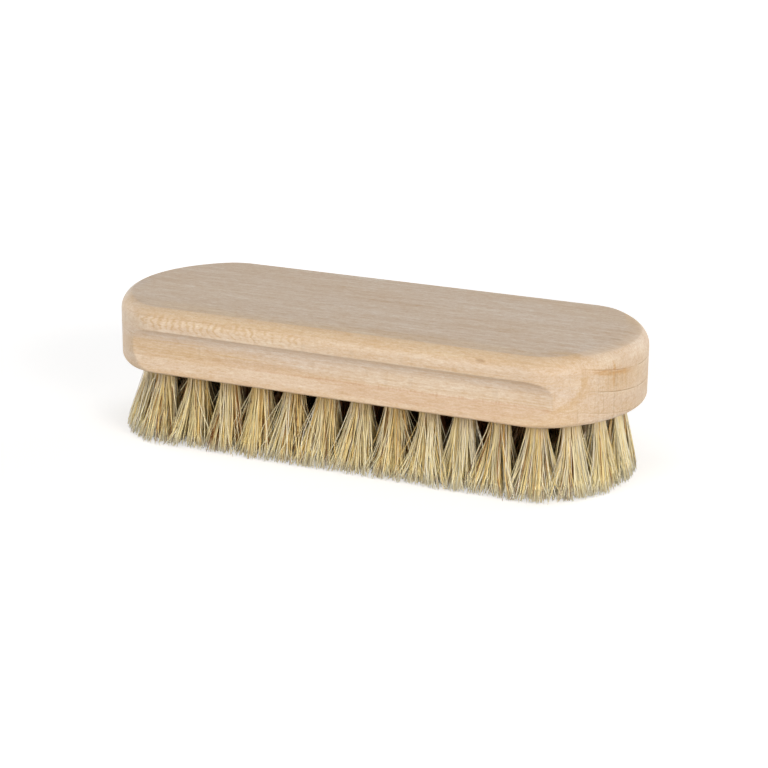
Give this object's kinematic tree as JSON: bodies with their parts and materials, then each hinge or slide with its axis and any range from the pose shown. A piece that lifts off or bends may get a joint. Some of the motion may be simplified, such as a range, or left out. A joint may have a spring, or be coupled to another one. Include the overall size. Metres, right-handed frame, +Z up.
{
  "type": "leather cleaning brush",
  "caption": "Hand brush for cleaning leather: a rounded beech block with a finger groove along each side and stapled tufts of pale natural bristle trimmed level.",
  "frame": {"origin": "middle of the plane in which the bristle tips are trimmed, below the middle of the block", "axes": "+X runs along the block, +Y across it, and +Z up from the bristle tips to the block's flat top"},
  "size_m": [0.15, 0.06, 0.039],
  "materials": {
    "beech": "bare sanded beech, matt",
    "bristle": "pale natural bristle, cream to straw, slightly glossy"
  },
  "bodies": {
    "root": {"wood_block": "beech", "ring_tuft_01": "bristle", "ring_tuft_02": "bristle", "ring_tuft_03": "bristle", "ring_tuft_04": "bristle", "ring_tuft_05": "bristle", "ring_tuft_06": "bristle", "ring_tuft_07": "bristle", "ring_tuft_08": "bristle", "ring_tuft_09": "bristle", "ring_tuft_10": "bristle", "ring_tuft_11": "bristle", "ring_tuft_12": "bristle", "ring_tuft_13": "bristle", "ring_tuft_14": "bristle", "ring_tuft_15": "bristle", "ring_tuft_16": "bristle", "ring_tuft_17": "bristle", "ring_tuft_18": "bristle", "ring_tuft_19": "bristle", "ring_tuft_20": "bristle", "ring_tuft_21": "bristle", "ring_tuft_22": "bristle", "ring_tuft_23": "bristle", "ring_tuft_24": "bristle", "ring_tuft_25": "bristle", "ring_tuft_26": "bristle", "ring_tuft_27": "bristle", "ring_tuft_28": "bristle", "ring_tuft_29": "bristle", "ring_tuft_30": "bristle", "ring_tuft_31": "bristle", "ring_tuft_32": "bristle", "ring_tuft_33": "bristle", "ring_tuft_34": "bristle", "inner_tuft_01": "bristle", "inner_tuft_02": "bristle", "inner_tuft_03": "bristle", "inner_tuft_04": "bristle", "inner_tuft_05": "bristle", "inner_tuft_06": "bristle", "inner_tuft_07": "bristle", "inner_tuft_08": "bristle", "inner_tuft_09": "bristle", "inner_tuft_10": "bristle", "inner_tuft_11": "bristle", "inner_tuft_12": "bristle", "inner_tuft_13": "bristle", "inner_tuft_14": "bristle", "inner_tuft_15": "bristle", "inner_tuft_16": "bristle", "inner_tuft_17": "bristle", "inner_tuft_18": "bristle", "inner_tuft_19": "bristle", "inner_tuft_20": "bristle", "inner_tuft_21": "bristle", "inner_tuft_22": "bristle", "inner_tuft_23": "bristle", "inner_tuft_24": "bristle", "inner_tuft_25": "bristle"}
  },
  "joints": []
}
